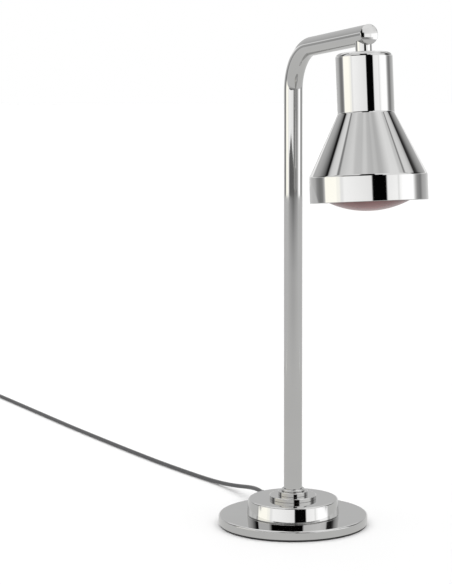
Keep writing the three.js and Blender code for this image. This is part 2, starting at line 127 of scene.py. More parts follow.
def lathe(name, profile, sides=192, place=Matrix(), smooth=35):
    """A piece turned about Z from (radius, height) points; it closes unless both ends are on the axis."""
    closed = not (profile[0][0] == 0 and profile[-1][0] == 0)
    points, faces, rows = [], [], []
    for r, z in profile:
        if r == 0:
            rows.append([len(points)] * sides)
            points.append(place @ Vector((0, 0, z)))
            continue
        rows.append(list(range(len(points), len(points) + sides)))
        for k in range(sides):
            a = 2 * math.pi * k / sides
            points.append(place @ Vector((r * math.cos(a), r * math.sin(a), z)))
    for low, high in zip(rows, rows[1:] + rows[:1] if closed else rows[1:]):
        for k in range(sides):
            n = (k + 1) % sides
            face = [low[k], low[n], high[n], high[k]]
            face = [v for i, v in enumerate(face) if v != face[i - 1]]
            if len(face) > 2:
                faces.append(face)
    return mesh_object(name, points, faces, smooth)


def skin(rows, n):
    """The faces between neighbouring loops of n points each."""
    faces = []
    for s in range(rows - 1):
        for k in range(n):
            a, b = s * n + k, s * n + (k + 1) % n
            faces.append([a, b, b + n, a + n])
    return faces


def sweep(stations, outline):
    """Points and faces of a row of sections: a station is (centre, side, up), the outline (side, up)."""
    points = [centre + side * u + up * v for centre, side, up in stations for u, v in outline]
    return points, skin(len(stations), len(outline))


def loft(name, loops, place=Matrix(), smooth=35):
    """A skin over loops with the same number of points, closed by a face on the first and on the last."""
    n = len(loops[0])
    points = [place @ Vector(p) for loop in loops for p in loop]
    ends = [list(range(n))[::-1], list(range((len(loops) - 1) * n, len(loops) * n))]
    return mesh_object(name, points, ends + skin(len(loops), n), smooth)


def rounded(width, height, radius, steps=6):
    """Points (u, v) round a rectangle with rounded corners."""
    points = []
    for su, sv, start in ((1, 1, 0), (-1, 1, 90), (-1, -1, 180), (1, -1, 270)):
        u, v = su * (width / 2 - radius), sv * (height / 2 - radius)
        points += arc(u, v, radius, start, start + 90, steps)
    return points


def unit_circle(sides):
    return [(math.cos(2 * math.pi * k / sides), math.sin(2 * math.pi * k / sides)) for k in range(sides)]


# ------------------------------------------------------------------ the cord comes first
ROUTE = [
    (0, tier_at(CORD["exit"]) + GLAND["cord_from"], CORD["exit"]), (0.5, 101, 24), (2, 109, 23.7),
    (5, 123, 22.6), (9, 142, 19.9), (11.6, 163, 16.7), (12.5, 186, 12.9), (11.8, 210, 9.2),
    (10.2, 236, 6.2), (7.8, 262, 4.2),
]
ROUTE += [(x, y, FLOOR_LINE) for x, y in (
    (5, 287), (-0.4, 321), (-6.4, 368), (-12.3, 418), (-17.2, 470), (-21.6, 528), (-26, 588), (-30, 650),
    (-34.2, 716), (-38, 783), (-41.4, 858), (-44.6, 935), (-48, 1014), (-51.6, 1099), (-54.2, 1150),
    (-56, 1186), (COIL[0] + CORD["coil_out"], COIL[1] - 24),
)]
TURNS = 3.25
LOWER_TURNS = 2
PER_TURN = 28


def coil_points():
    """Two turns spiral inwards on the floor, then the rest climbs on them and spirals back out."""
    pitch = (CORD["coil_out"] - CORD["coil_in"]) / 2
    upper = FLOOR_LINE + 2 * CORD["radius"] + 0.3
    climb_turns, inner_turns, inset = 0.2, 2.1, 3.1
    points = []
    for i in range(int(TURNS * PER_TURN) + 1):
        turn = i / PER_TURN
        if turn <= LOWER_TURNS:
            r, z = CORD["coil_out"] - pitch * turn, FLOOR_LINE
        else:
            climb = min((turn - LOWER_TURNS) / climb_turns, 1)
            outward = max(turn - inner_turns, 0) / (TURNS - inner_turns)
            r = CORD["coil_in"] + (CORD["coil_out"] - inset - CORD["coil_in"]) * outward
            z = FLOOR_LINE + (upper - FLOOR_LINE) * (3 * climb ** 2 - 2 * climb ** 3)
        a = 2 * math.pi * turn
        points.append((COIL[0] + r * math.cos(a), COIL[1] + r * math.sin(a), z))
    return points


PLUG_TAIL = (COIL[0] - 27.4, COIL[1] + 34.9, 12.5)


def make_cord():
    tail = [
        (COIL[0] - 13, PLUG_TAIL[1], 10.6),
        (PLUG_TAIL[0] - 1.5, PLUG_TAIL[1], PLUG_TAIL[2] - 0.2),
    ]
    points = ROUTE + coil_points() + tail
    curve = bpy.data.curves.new("cord_line", "CURVE")
    curve.dimensions = "3D"
    curve.bevel_depth = CORD["radius"] * MM
    curve.bevel_resolution = 8
    curve.resolution_u = 6
    curve.use_fill_caps = True
    spline = curve.splines.new("NURBS")
    spline.points.add(len(points) - 1)
    for point, place in zip(spline.points, points):
        point.co = (*(Vector(place) * MM), 1)
    spline.order_u = 4
    spline.use_endpoint_u = True
    return link(bpy.data.objects.new("mains_cord", curve))


# ------------------------------------------------------------------ materials
def ramp(nodes, stops):
    node = nodes.new("ShaderNodeValToRGB")
    elements = node.color_ramp.elements
    for i, (place, colour) in enumerate(stops):
        element = elements[i] if i < 2 else elements.new(place)
        element.position = place
        element.color = (*colour, 1)
    return node


def noise(nodes, links, scale, detail=3, roughness=0.5, stretch=(1, 1, 1)):
    where = nodes.new("ShaderNodeTexCoord")
    mapping = nodes.new("ShaderNodeMapping")
    mapping.inputs["Scale"].default_value = stretch
    texture = nodes.new("ShaderNodeTexNoise")
    texture.inputs["Scale"].default_value = scale
    texture.inputs["Detail"].default_value = detail
    texture.inputs["Roughness"].default_value = roughness
    links.new(where.outputs["Object"], mapping.inputs["Vector"])
    links.new(mapping.outputs["Vector"], texture.inputs["Vector"])
    return texture


def between(nodes, links, value, low, high):
    spread = nodes.new("ShaderNodeMapRange")
    spread.inputs["From Min"].default_value = 0.3
    spread.inputs["From Max"].default_value = 0.7
    spread.inputs["To Min"].default_value = low
    spread.inputs["To Max"].default_value = high
    links.new(value, spread.inputs["Value"])
    return spread.outputs["Result"]


def material(name, dark, light, scale, roughness, bump=(0, 0), stretch=(1, 1, 1), **sockets):
    """A surface whose colour drifts between two tones, with its own roughness range and fine bump."""
    made = bpy.data.materials.new(name)
    made.use_nodes = True
    nodes, links = made.node_tree.nodes, made.node_tree.links
    shader = nodes["Principled BSDF"]
    drift = noise(nodes, links, scale, stretch=stretch)
    tone = ramp(nodes, [(0.3, dark), (0.7, light)])
    links.new(drift.outputs["Fac"], tone.inputs["Fac"])
    links.new(tone.outputs["Color"], shader.inputs["Base Color"])
    links.new(between(nodes, links, drift.outputs["Fac"], *roughness), shader.inputs["Roughness"])
    strength, fineness = bump
    if strength:
        grain = noise(nodes, links, fineness, detail=4, stretch=stretch)
        relief = nodes.new("ShaderNodeBump")
        relief.inputs["Strength"].default_value = strength
        relief.inputs["Distance"].default_value = 0.0002
        links.new(grain.outputs["Fac"], relief.inputs["Height"])
        links.new(relief.outputs["Normal"], shader.inputs["Normal"])
    for socket, value in sockets.items():
        shader.inputs[socket.replace("_", " ")].default_value = value
    return made


CHROME = material("chrome", (0.57, 0.569, 0.564), (0.6, 0.599, 0.594), 9, (0.025, 0.045), Metallic=1.0)
SATIN_ALUMINIUM = material(
    "satin_aluminium", (0.62, 0.63, 0.64), (0.74, 0.745, 0.75), 30, (0.22, 0.34), (0.15, 900), Metallic=1.0,
)
ZINC = material(
    "zinc_plate", (0.45, 0.46, 0.47), (0.6, 0.6, 0.59), 60, (0.32, 0.48), (0.2, 700), Metallic=1.0,
)
BRASS = material(
    "brass", (0.6, 0.42, 0.16), (0.74, 0.56, 0.27), 70, (0.22, 0.38), (0.1, 600), Metallic=1.0,
)
RUBBER = material("rubber", (0.012, 0.012, 0.012), (0.024, 0.024, 0.025), 140, (0.6, 0.8), (0.4, 1500))
BLACK_PLASTIC = material(
    "black_plastic", (0.012, 0.012, 0.013), (0.02, 0.02, 0.021), 160, (0.35, 0.48), (0.3, 1800),
)
CORD_JACKET = material(
    "cord_jacket", (0.055, 0.055, 0.058), (0.085, 0.085, 0.088), 90, (0.42, 0.55), (0.15, 900),
)
PORCELAIN = material("porcelain", (0.82, 0.8, 0.74), (0.9, 0.89, 0.85), 60, (0.08, 0.16), (0.05, 300))
RED_GLASS = material(
    "red_glass", (0.21, 0.085, 0.085), (0.28, 0.125, 0.125), 45, (0.16, 0.24), (0.05, 500),
    Coat_Weight=0.12, Coat_Roughness=0.08, Specular_IOR_Level=0.25,
)
CLEAR_GLASS = material(
    "clear_glass", (0.85, 0.88, 0.88), (0.95, 0.96, 0.96), 30, (0.03, 0.06), Transmission_Weight=0.9,
)
TUNGSTEN = material(
    "tungsten", (0.14, 0.14, 0.15), (0.24, 0.24, 0.25), 200, (0.4, 0.55), (0.2, 1500), Metallic=1.0,
)
NYLON = material("nylon", (0.66, 0.63, 0.54), (0.76, 0.74, 0.66), 80, (0.45, 0.6), (0.2, 800))
SLEEVE = material(
    "fibre_sleeve", (0.55, 0.5, 0.38), (0.74, 0.7, 0.58), 350, (0.85, 0.95), (0.8, 1400), (1, 1, 0.3),
)
WIRE_BLACK = material(
    "wire_black", (0.015, 0.015, 0.016), (0.025, 0.025, 0.026), 200, (0.4, 0.5), (0.1, 900),
)
WIRE_WHITE = material("wire_white", (0.72, 0.71, 0.67), (0.82, 0.81, 0.78), 200, (0.4, 0.5), (0.1, 900))
WIRE_GREEN = material("wire_green", (0.02, 0.2, 0.06), (0.04, 0.28, 0.09), 200, (0.4, 0.5), (0.1, 900))

SLOTS = {
    "chrome": CHROME, "polished_aluminium": SATIN_ALUMINIUM, "zinc": ZINC, "brass": BRASS, "rubber": RUBBER,
    "black_plastic": BLACK_PLASTIC, "cord_plastic": CORD_JACKET, "porcelain": PORCELAIN,
    "red_glass": RED_GLASS, "clear_glass": CLEAR_GLASS, "tungsten": TUNGSTEN, "nylon": NYLON,
    "fibre_sleeve": SLEEVE, "wire_black": WIRE_BLACK, "wire_white": WIRE_WHITE, "wire_green": WIRE_GREEN,
}


def dress(obj, look, body, slot_name, *replaced):
    """Gives a new piece its material, its body and the CAD nodes that it stands for."""
    obj.data.materials.clear()
    obj.data.materials.append(look)
    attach(obj, body)
    if replaced:
        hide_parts(*replaced)
    return obj


def finish_cad_nodes():
    """Every CAD node that stays gets its slot's material."""
    looks = {row["node"]: SLOTS[row["material_slot"]] for row in frame["record"]["subparts"]}
    for name, obj in frame["nodes"].items():
        obj.data.materials.clear()
        obj.data.materials.append(looks[name])


# ------------------------------------------------------------------ chrome base
def make_base():
    """The base plate, with a counterbore under it, and its pad with moulded grooves."""
    radius, bottom, edge, foot = (PLATE[k] for k in ("radius", "bottom", "edge", "foot"))
    seat, recess, bore, under_tier = PAD["top"] + 0.3, PAD["radius"] + 0.3, 8, 66
    plate = lathe("chrome_base_plate", [
        (bore, WELL["top"]), (WELL["radius"], WELL["top"]), (WELL["radius"], seat), (recess, seat),
        (recess, bottom), *arc(radius - foot, bottom + foot, foot, -90, 0, 6),
        *arc(radius - edge, PLATE["top"] - edge, edge, 0, 90, 14),
        (under_tier, PLATE["top"]), (bore, PLATE["top"]),
    ], 256)
    dress(plate, CHROME, "base", "chrome", "base_plate")

    rounding, depth, half_width, flare = 0.6, 0.6, 1.2, 0.2
    grooves = []
    for r in (28, 32, 52, 56, 76, 80, 92, 95):
        low, high = r - half_width, r + half_width
        grooves += [(low, 0), (low + flare, depth), (high - flare, depth), (high, 0)]
    pad = lathe("non_slip_pad", [
        (0, 0), *grooves, (PAD["radius"] - rounding, 0),
        *arc(PAD["radius"] - rounding, rounding, rounding, -90, 0, 4),
        (PAD["radius"], PAD["top"]), (0, PAD["top"]),
    ], 160)
    dress(pad, RUBBER, "base", "rubber", "base_pad")


def cut_box(target, size, place):
    """Cuts a box out of a piece; the cutter is removed once it is applied."""
    bpy.ops.mesh.primitive_cube_add(size=1)
    cutter = bpy.context.object
    cutter.matrix_world = place @ Matrix.Diagonal((*(Vector(size) * MM), 1))
    apply_cut(target, cutter)


def cut_hole(target, radius, depth, place):
    bpy.ops.mesh.primitive_cylinder_add(vertices=48, radius=radius * MM, depth=depth * MM)
    cutter = bpy.context.object
    cutter.matrix_world = place
    apply_cut(target, cutter)


def apply_cut(target, cutter):
    modifier = target.modifiers.new("cut", "BOOLEAN")
    modifier.object = cutter
    modifier.solver = "EXACT"
    bpy.context.view_layer.update()
    graph = bpy.context.evaluated_depsgraph_get()
    target.modifiers.remove(target.modifiers["even_normals"])
    shape = bpy.data.meshes.new_from_object(target.evaluated_get(graph))
    target.modifiers.clear()
    target.data = shape
    even_normals(target)
    bpy.data.objects.remove(cutter)


def on_wall(side, height, lean=True):
    """The frame of a fitting on the housing's rear wall: Y points out of the wall."""
    turn = Matrix.Rotation(math.radians(-side), 4, "Z")
    tilt = Matrix.Rotation(math.radians(TIER["draft"] if lean else 0), 4, "X")
    return turn @ Matrix.Translation(Vector((0, tier_at(height), height))) @ tilt


def scaled(place):
    """The same frame in metres, for Blender's own objects."""
    made = place.copy()
    made.translation = place.translation * MM
    return made


def make_housing():
    """The round tier: a thin drafted shell with holes for the cord's gland and the switch."""
    top, foot, roll, roll_start = TIER["top"] - TIER["edge"], TIER["foot"] - 0.25, 1.6, 55
    gland_hole, cutter_depth, switch_hole = 5, 14, (14.6, 9.6)
    outside = [
        *arc(
            TIER["radius"] - roll, foot + roll * math.sin(math.radians(roll_start)), roll,
            -roll_start, TIER["draft"], 8,
        ),
        *arc(tier_at(top) - TIER["edge"], top, TIER["edge"], TIER["draft"], 90, 14),
    ]
    ceiling = TIER["top"] - TIER["wall"]
    inside = [
        (8, TIER["top"]), (8, ceiling), (tier_at(top) - 3, ceiling),
        (TIER["radius"] - TIER["wall"] - 0.6, foot),
    ]
    housing = lathe("chrome_housing", outside + inside, 256)
    lay = Matrix.Rotation(math.pi / 2, 4, "X")
    cut_hole(housing, gland_hole, cutter_depth, scaled(on_wall(0, CORD["exit"], False)) @ lay)
    wide, high = switch_hole
    cut_box(housing, (wide, cutter_depth, high), scaled(on_wall(SWITCH["side"], SWITCH["up"])))
    dress(housing, CHROME, "base", "chrome", "base_housing")


# the set screw's frame: Z points straight back, along the table
HUB_REAR = (
    Matrix.Translation((0, 0, HUB["foot"] + HUB["height"] / 2))
    @ Matrix.Rotation(-math.pi / 2, 4, "X")
)


def make_set_screw():
    """A grub screw with a hexagon socket in its end."""
    radius, start, end, key = (SET_SCREW[k] for k in ("radius", "start", "end", "key"))
    circle = unit_circle(24)
    flat = key * math.cos(math.pi / 6)

    def disc(r, z):
        return [(r * u, r * v, z) for u, v in circle]

    def hexagon(z):
        """A point of the hexagon on each of the circle's rays."""
        loop = []
        for u, v in circle:
            across = max(abs(u * math.cos(t) + v * math.sin(t)) for t in (0, math.pi / 3, -math.pi / 3))
            loop.append((u * flat / across, v * flat / across, z))
        return loop

    screw = loft("hub_grub_screw", [
        disc(radius - 0.4, start), disc(radius, start + 0.4), disc(radius, end - 0.25),
        disc(radius - 0.25, end), hexagon(end), hexagon(end - 1.6),
    ], HUB_REAR)
    dress(screw, ZINC, "base", "zinc", "hub_set_screw")


def make_collars():
    """The two collars on the tier and the lock ring round the tube's foot."""
    bore, edge, gap = TUBE["radius"] + 0.25, 0.9, 0.25
    for name, node, size in (("flange", "flange_collar", FLANGE), ("hub", "hub_collar", HUB)):
        low, high, r = size["foot"] - gap, size["foot"] + size["height"], size["radius"]
        collar = lathe(f"chrome_{name}", [
            (bore, low), (r - 0.3, low), (r, low + 0.3), *arc(r - edge, high - edge, edge, 0, 90, 8),
            (bore + 0.3, high), (bore, high - 0.3),
        ])
        if name == "hub":
            hole = HUB_REAR @ Matrix.Translation((0, 0, HUB["radius"] - 1))
            cut_hole(collar, SET_SCREW["hole"], 14, scaled(hole))
        dress(collar, CHROME, "base", "chrome", node)
    crown, foot, r = LOCK_RING["crown"], LOCK_RING["foot"], LOCK_RING["radius"]
    top = foot + LOCK_RING["height"]
    ring = lathe("chrome_lock_ring", [
        (bore, foot - 0.2), (r - 0.3, foot - 0.2), (r, foot + 0.1),
        *arc(r - crown, top - crown, crown, 0, 90, 12), (bore + 0.2, top), (bore, top - 0.2),
    ])
    dress(ring, CHROME, "base", "chrome", "lock_ring")


# ------------------------------------------------------------------ bent tube, end cap and stem
def tube_stations():
    """Centres and frames along the upright, the bend and the arm."""
    turn, bend, steps = math.pi / 2 - RISE, TUBE["bend"], 72
    tangent = bend * math.tan(turn / 2)
    bend_foot = TUBE["corner"] - tangent
    x = Vector((1, 0, 0))
    stations = [(Vector((0, 0, z)), x, Vector((0, -1, 0))) for z in (TUBE["foot"], 300, 560, bend_foot - 2)]
    for i in range(steps + 1):
        a = turn * i / steps
        centre = Vector((0, -bend * (1 - math.cos(a)), bend_foot + bend * math.sin(a)))
        stations.append((centre, x, Vector((0, -math.cos(a), -math.sin(a)))))
    arm = Vector((0, -math.cos(RISE), math.sin(RISE)))
    down = Vector((0, -math.sin(RISE), -math.cos(RISE)))
    end = TUBE["end"] / math.cos(RISE)
    for along in (tangent + 2, end - 20, end):
        stations.append((Vector((0, 0, TUBE["corner"])) + arm * along, x, down))
    return stations


def make_tube():
    """The bent tube, with its bore, and the cap on the arm's end."""
    stations = tube_stations()
    sides = 128
    circle = unit_circle(sides)
    outer, faces = sweep(stations, [(TUBE["radius"] * u, TUBE["radius"] * v) for u, v in circle])
    bore = TUBE["radius"] - TUBE["wall"]
    inner, inner_faces = sweep(stations, [(bore * u, bore * v) for u, v in circle])
    shift = len(outer)
    faces += [[v + shift for v in reversed(face)] for face in inner_faces]
    for start in (0, (len(stations) - 1) * sides):
        for k in range(sides):
            n = (k + 1) % sides
            faces.append([start + k, start + n, start + n + shift, start + k + shift])
    tube = mesh_object("chrome_tube", outer + inner, faces)
    dress(tube, CHROME, "base", "chrome", "arm_tube")

    end = Matrix.Translation(Vector((0, -TUBE["end"], TUBE["corner"] + TUBE["end"] * math.tan(RISE))))
    place = end @ Matrix.Rotation(math.pi / 2 - RISE, 4, "X")
    # a shallow spherical crown that rolls over into the rim
    r = TUBE["radius"]
    ball, top, roll, plug = (END_CAP[k] for k in ("ball", "top", "roll", "plug"))
    edge = math.asin((r - roll) / (ball - roll))
    roll_height = top - ball + (ball - roll) * math.cos(edge)
    crown_start = 90 - math.degrees(edge)
    cap = lathe("chrome_end_cap", [
        (0, -plug), (bore - 0.3, -plug), (bore - 0.3, 0.1), (r - 0.1, 0.1),
        *arc(r - roll, roll_height, roll, 0, crown_start, 8)[:-1],
        *arc(0, top - ball, ball, crown_start, 90, 16)[:-1], (0, top),
    ], 128, place, 60)
    dress(cap, CHROME, "base", "chrome", "arm_end_cap")


HEAD_PLACE = (
    Matrix.Translation(Vector((0, -STEM["reach"], TUBE["corner"] + STEM["reach"] * math.tan(RISE))))
    @ Matrix.Rotation(-RISE, 4, "X")
)


def make_stem():
    """A short sleeve, coped to fit under the tube."""
    sides, foot = 96, -HEAD["top"] + 1.3
    saddle = TUBE["radius"] + 0.1
    rows = []
    for radius in (STEM["radius"], SWIVEL_BORE):
        for top in (False, True):
            row = []
            for k in range(sides):
                a = 2 * math.pi * k / sides
                x, y = radius * math.cos(a), radius * math.sin(a)
                z = -math.sqrt(saddle ** 2 - x ** 2) if top else foot
                row.append(HEAD_PLACE @ Vector((x, y, z)))
            rows.append(row)
    low_out, high_out, low_in, high_in = (i * sides for i in range(4))
    faces = []
    for k in range(sides):
        n = (k + 1) % sides
        for a, b in ((low_out, high_out), (high_out, high_in), (high_in, low_in), (low_in, low_out)):
            faces.append([a + k, a + n, b + n, b + k])
    stem = mesh_object("chrome_stem", [p for row in rows for p in row], faces)
    dress(stem, CHROME, "base", "chrome", "stem_sleeve")


# ------------------------------------------------------------------ shade and bulb
def bell_outline(inset, fine):
    """The shade's outside, or its inside when there is an inset, from the neck's top to the rim."""
    neck_end = -(HEAD["top"] + HEAD["neck_height"])
    cone_end = neck_end - HEAD["cone_height"]
    slope = math.degrees(math.atan2(HEAD["bell"] - HEAD["neck"], HEAD["cone_height"]))
    half = math.tan(math.radians(slope) / 2)
    crown, throat, shoulder = 6, 5, 6
    lip = -0.3 if inset else 0.3
    bell = HEAD["bell"] - inset
    return [
        (SWIVEL_BORE, -HEAD["top"] - inset),
        *arc(HEAD["neck"] - crown, -HEAD["top"] - crown, crown - inset, 90, 0, fine),
        *arc(HEAD["neck"] + throat, neck_end + throat * half, throat + inset, 180, 180 + slope, fine // 2),
        *arc(HEAD["bell"] - shoulder, cone_end - shoulder * half, shoulder - inset, slope, 0, fine // 2),
        (bell, -HEAD["rim"] + 0.4), (bell - lip, -HEAD["rim"]),
    ]


def make_shade():
    outline = bell_outline(0, 16) + bell_outline(HEAD["wall"], 16)[::-1]
    shade = lathe("chrome_shade", outline, 320, HEAD_PLACE)
    dress(shade, CHROME, "lamp_head", "chrome", "shade")


def make_bulb():
    """The reflector bulb: a bowl that widens to a rim, and a shallow face."""
    foot = -BULB["top"] - BULB["length"]
    cap_end = -BULB["top"] - 26
    corner, face = 7, BULB["face"]
    rim = math.degrees(math.asin((BULB["radius"] - corner) / (face - corner)))
    face_centre = foot + face
    bowl = [(13, -0.3), (16.5, -5), (18.5, -16), (25, -32), (38, -52), (51.5, -72), (60.5, -91)]
    corner_z = face_centre - (face - corner) * math.cos(math.radians(rim))
    knots = [(r, cap_end + z) for r, z in bowl] + [(BULB["radius"], corner_z + 1)]
    smooth_bowl = []
    for i in range(len(knots) - 1):
        before, after = knots[max(i - 1, 0)], knots[min(i + 2, len(knots) - 1)]
        smooth_bowl += [catmull(before, knots[i], knots[i + 1], after, s / 8) for s in range(8)]
    glass = lathe("reflector_bulb", [
        (0, cap_end - 0.3), *smooth_bowl, *arc(BULB["radius"] - corner, corner_z, corner, 0, rim - 90, 12),
        *arc(0, face_centre, face, rim - 90 - 2, -90, 24)[:-1], (0, foot),
    ], 160, HEAD_PLACE, 60)
    # painted shade on the bulb's face, darker towards the rim
    paint_bulb_rim_shade(RED_GLASS, HEAD_PLACE @ Vector((0, 0, foot)))
    dress(glass, RED_GLASS, "lamp_head", "red_glass", "bulb_glass")


def paint_bulb_rim_shade(look, centre):
    """The bulb's face is painted darker from its middle towards its rim: painted shade where the shade
    hangs over it.
    """
    nodes, links = look.node_tree.nodes, look.node_tree.links
    shader = nodes["Principled BSDF"]
    streaks = shader.inputs["Base Color"].links[0].from_socket
    where = nodes.new("ShaderNodeTexCoord")
    apart = nodes.new("ShaderNodeVectorMath")
    apart.operation = "DISTANCE"
    apart.inputs[1].default_value = centre * MM
    links.new(where.outputs["Object"], apart.inputs[0])
    # painted shade: full colour at the middle of the face, darker towards the rim
    depth = ramp(nodes, [(0.2, (1, 1, 1)), (0.62, (0.72, 0.66, 0.66)), (1, (0.3, 0.22, 0.22))])
    spread = nodes.new("ShaderNodeMath")
    spread.operation = "MULTIPLY"
    spread.inputs[1].default_value = 1 / (BULB["radius"] * MM)
    links.new(apart.outputs["Value"], spread.inputs[0])
    links.new(spread.outputs[0], depth.inputs["Fac"])
    mix = nodes.new("ShaderNodeMix")
    mix.data_type = "RGBA"
    mix.blend_type = "MULTIPLY"
    mix.inputs["Factor"].default_value = 1
    links.new(streaks, mix.inputs["A"])
    links.new(depth.outputs["Color"], mix.inputs["B"])
    links.new(mix.outputs["Result"], shader.inputs["Base Color"])


def catmull(p0, p1, p2, p3, t):
    """A point on the smooth curve from p1 to p2."""
    return tuple(
        0.5 * (
            2 * b + (c - a) * t + (2 * a - 5 * b + 4 * c - d) * t ** 2 + (3 * b - a - 3 * c + d) * t ** 3
        )
        for a, b, c, d in zip(p0, p1, p2, p3)
    )


# ------------------------------------------------------------------ rear fittings
def make_gland():
    """A tapered strain relief with a flange and a ribbed sleeve.

    Two webs bridge each groove, turned a quarter from one groove to the next.
    """
    length, flange, start, pitch, groove, depth = GLAND["length"], 7.5, 7.0, 3.0, 1.2, 1.0
    tip, root, sides, web, flank = 3.9, 5.5, 72, 0.3, 0.15

    def sleeve_radius(z):
        return root + (tip - root) * (z - start) / (length - start)

    # radius, height, and 0 for a plain row, or 1 or 2 for the way its webs lie
    rows = [(flange - 3, -4, 0), (flange - 3, 0.2, 0), (flange - 0.4, 0.2, 0), (flange, 0.6, 0)]
    rows += [(r, z, 0) for r, z in arc(flange - 0.9, 2.3, 0.9, 0, 90, 5)]
    rows += [(r, z, 0) for r, z in arc(root + 1.0, 4.2, 1.0, 270, 180, 5)]
    for i in range(int((length - 2 - start) / pitch)):
        low = start + i * pitch
        for z, deep in ((low, 0), (low + flank, depth), (low + groove, depth), (low + groove + flank, 0)):
            rows.append((sleeve_radius(z) - deep, z, (1 + i % 2) if deep else 0))
    rows += [(tip + 0.05, length - 0.4, 0), (tip - 0.3, length, 0)]
    loops = []
    for r, z, kind in rows:
        loop = []
        for u, v in unit_circle(sides):
            side = abs(v) if kind == 1 else abs(u)
            out = r + depth if kind and side < web else r
            loop.append((out * u, out * v, z))
        loops.append(loop)
    place = on_wall(0, CORD["exit"], False) @ Matrix.Rotation(-math.pi / 2, 4, "X")
    gland = loft("cord_strain_relief", loops, place, 30)
    dress(gland, RUBBER, "base", "rubber", "cord_gland")


def make_switch():
    """A snap-in rocker switch: a bezel with a well, and the rocker in it."""
    place = on_wall(SWITCH["side"], SWITCH["up"])
    width, height = SWITCH["width"], SWITCH["height"]
    # each loop's width, height and corner radius, and how far it stands out of the wall
    bezel = (
        (14, 9, 0.6, -12.6), (14, 9, 0.6, -0.5), (width, height, 1.7, -0.5), (width, height, 1.7, 1.7),
        (width - 0.5, height - 0.5, 1.5, 2.3), (width - 1.2, height - 1.2, 1.2, 2.6),
        (13.6, 8.6, 1.0, 2.6), (12.9, 7.9, 0.7, 2.1), (12.8, 7.8, 0.6, -4.4),
    )
    body = loft("switch_bezel", [[(u, y, v) for u, v in rounded(w, h, r)] for w, h, r, y in bezel], place)
    dress(body, BLACK_PLASTIC, "base", "black_plastic", "switch_body")

    # the rocker is a seesaw with a dished face, its long edges rounded over
    pivot = place @ Matrix.Translation((0, 0.9, 0)) @ Matrix.Rotation(math.radians(SWITCH["tilt"]), 4, "Z")
    reach, dish, middle = 5.4, 0.8, 1.8

    def surface(x):
        return middle + dish * (x / reach) ** 2

    face = [(x, surface(x)) for x in (reach * (i / 8 - 1) for i in range(17))]
    under = [(5.35, 1.2), (5.1, -0.6), (1.6, -2.6), (-1.6, -2.6), (-5.1, -0.6), (-5.35, 1.2)]
    loops = []
    for z, pull in ((-3.5, 0.3), (-3.42, 0.12), (-3.2, 0), (3.2, 0), (3.42, 0.12), (3.5, 0.3)):
        shrink = 1 - pull / reach
        loops.append([(x * shrink, y - pull if y > 0 else y + pull, z) for x, y in face + under])
    button = loft("switch_rocker", loops, pivot, 40)
    dress(button, BLACK_PLASTIC, "rocker", "black_plastic", "power_rocker")

    # generic on and off marks, printed in white
    mark_at = 3.2
    bar = loft("rocker_mark_on", [
        [(-mark_at + u, surface(-mark_at) + lift, v) for u, v in rounded(0.5, 2.6, 0.2, 3)]
        for lift in (-0.2, 0.12)
    ], pivot)
    line, ring_radius = 0.22, 1.1
    stations = []
    for u, v in unit_circle(32):
        x = mark_at + ring_radius * u
        stations.append((Vector((x, surface(x), ring_radius * v)), Vector((u, 0, v)), Vector((0, 1, 0))))
    points, faces = sweep(stations + stations[:1], [(line * u, line * v) for u, v in unit_circle(8)])
    ring = mesh_object("rocker_mark_off", [pivot @ p for p in points], faces, 60)
    for mark in (bar, ring):
        dress(mark, WIRE_WHITE, "rocker", "black_plastic")


# ------------------------------------------------------------------ tie and plug
def make_tie():
    """A flat strap drawn tight round the coil's turns, with its buckle on top."""
    mean, snug, thick, width, edge = 31.8, 3.06, 0.85, 6, 0.2
    # the strap bends round three of the turns
    rolls = ((6.2, FLOOR_LINE), (-3.0, FLOOR_LINE + 6.3), (-6.2, FLOOR_LINE))
    inner, outer = [], []
    for i, (u, z) in enumerate(rolls):
        before, after = rolls[i - 1], rolls[(i + 1) % 3]
        start = math.degrees(math.atan2(z - before[1], u - before[0])) - 90
        stop = math.degrees(math.atan2(after[1] - z, after[0] - u)) - 90
        while stop < start:
            stop += 360
        inner += arc(u, z, snug, start, stop, 8)
        outer += arc(u, z, snug + thick, start, stop, 8)
    n = len(inner)
    stations = (-width / 2, -width / 2 + edge, width / 2 - edge, width / 2)
    points = []
    for y in stations:
        points += [Vector((u, y, max(z, 0.02))) for u, z in outer]
        points += [Vector((u, y, max(z, 0.06))) for u, z in inner]
    faces = []
    for s in range(len(stations) - 1):
        a, b = s * 2 * n, (s + 1) * 2 * n
        for k in range(n):
            m = (k + 1) % n
            faces.append([a + k, a + m, b + m, b + k])
            faces.append([a + n + m, a + n + k, b + n + k, b + n + m])
    for s in (0, (len(stations) - 1) * 2 * n):
        for k in range(n):
            m = (k + 1) % n
            faces.append([s + k, s + m, s + n + m, s + n + k])
    centre = Matrix.Translation((COIL[0] - mean, COIL[1], 0)) @ Matrix.Rotation(math.pi, 4, "Z")
    strap = mesh_object("coil_strap", [centre @ p for p in points], faces, 40)
    dress(strap, RUBBER, "base", "rubber", "cord_tie")
    # each loop's width, height and level
    rows = ((4.4, 7.0, 12.5), (5.0, 7.6, 12.8), (5.0, 7.6, 14.2), (4.6, 7.2, 14.6))
    buckle = loft("coil_strap_buckle", [
        [(-3.0 + u, v, z) for u, v in rounded(w, h, 0.8, 4)] for w, h, z in rows
    ], centre)
    dress(buckle, BLACK_PLASTIC, "base", "rubber")
    return [strap, buckle]


